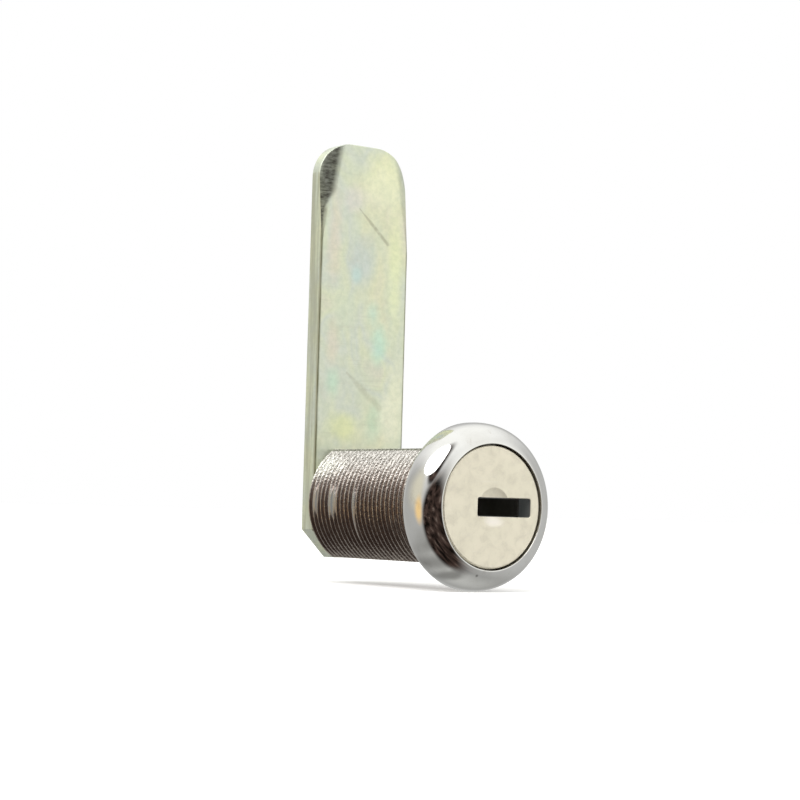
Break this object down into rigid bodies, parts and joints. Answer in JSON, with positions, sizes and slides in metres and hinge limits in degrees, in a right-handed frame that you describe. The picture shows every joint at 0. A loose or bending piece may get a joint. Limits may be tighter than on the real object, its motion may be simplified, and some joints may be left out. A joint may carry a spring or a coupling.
{
  "type": "cam lock",
  "caption": "Wafer cam lock: domed round head, threaded barrel with two flats, off-centre key slot and a straight plated cam.",
  "frame": {"origin": "on the lock's axis, in the plane of the head's back face that seats on the panel", "axes": "+Y along the barrel from the head to the cam, +Z along the cam towards its tip, +X to the right when facing the key slot"},
  "size_m": [0.0234, 0.0408, 0.0659],
  "materials": {
    "chrome": "polished chrome head, duller dark-grooved thread",
    "satin_nickel": "satin nickel plate, warm grey",
    "brass": "stamped, as cut",
    "spring_steel": "drawn wire",
    "yellow_zinc": "zinc plate with pale yellow iridescent passivation",
    "bright_zinc": "bright zinc plate"
  },
  "bodies": {
    "housing": {"housing": "chrome"},
    "plug": {"plug": "satin_nickel", "wafer_spring_1": "spring_steel", "wafer_spring_2": "spring_steel", "wafer_spring_3": "spring_steel", "wafer_spring_4": "spring_steel", "wafer_spring_5": "spring_steel", "wafer_spring_6": "spring_steel", "wafer_spring_7": "spring_steel", "retaining_spring": "spring_steel", "stop_washer": "bright_zinc", "cam": "yellow_zinc", "plain_washer": "bright_zinc", "lock_washer": "bright_zinc", "cam_screw": "bright_zinc"},
    "wafer_1": {"wafer_1": "brass"},
    "wafer_2": {"wafer_2": "brass"},
    "wafer_3": {"wafer_3": "brass"},
    "wafer_4": {"wafer_4": "brass"},
    "wafer_5": {"wafer_5": "brass"},
    "wafer_6": {"wafer_6": "brass"},
    "wafer_7": {"wafer_7": "brass"},
    "retaining_wafer": {"retaining_wafer": "brass"}
  },
  "joints": [
    {"name": "plug_turn", "type": "hinge", "parent": "housing", "child": "plug", "pos_m": [0, 0, 0], "axis": [0, 1, 0], "range_deg": [0, 90]},
    {"name": "wafer_1_slide", "type": "slide", "parent": "plug", "child": "wafer_1", "axis": [1, 0, 0], "range_m": [0, 0.0006], "stiffness_N_per_m": 120, "springref_m": 0.0025, "deforming": ["wafer_spring_1"]},
    {"name": "wafer_2_slide", "type": "slide", "parent": "plug", "child": "wafer_2", "axis": [1, 0, 0], "range_m": [0, 0.0006], "stiffness_N_per_m": 120, "springref_m": 0.0025, "deforming": ["wafer_spring_2"]},
    {"name": "wafer_3_slide", "type": "slide", "parent": "plug", "child": "wafer_3", "axis": [1, 0, 0], "range_m": [0, 0.0006], "stiffness_N_per_m": 120, "springref_m": 0.0025, "deforming": ["wafer_spring_3"]},
    {"name": "wafer_4_slide", "type": "slide", "parent": "plug", "child": "wafer_4", "axis": [1, 0, 0], "range_m": [0, 0.0006], "stiffness_N_per_m": 120, "springref_m": 0.0025, "deforming": ["wafer_spring_4"]},
    {"name": "wafer_5_slide", "type": "slide", "parent": "plug", "child": "wafer_5", "axis": [1, 0, 0], "range_m": [0, 0.0006], "stiffness_N_per_m": 120, "springref_m": 0.0025, "deforming": ["wafer_spring_5"]},
    {"name": "wafer_6_slide", "type": "slide", "parent": "plug", "child": "wafer_6", "axis": [1, 0, 0], "range_m": [0, 0.0006], "stiffness_N_per_m": 120, "springref_m": 0.0025, "deforming": ["wafer_spring_6"]},
    {"name": "wafer_7_slide", "type": "slide", "parent": "plug", "child": "wafer_7", "axis": [1, 0, 0], "range_m": [0, 0.0006], "stiffness_N_per_m": 120, "springref_m": 0.0025, "deforming": ["wafer_spring_7"]},
    {"name": "retaining_wafer_slide", "type": "slide", "parent": "plug", "child": "retaining_wafer", "axis": [1, 0, 0], "range_m": [0, 0.00065], "stiffness_N_per_m": 300, "springref_m": -0.002, "deforming": ["retaining_spring"]}
  ]
}
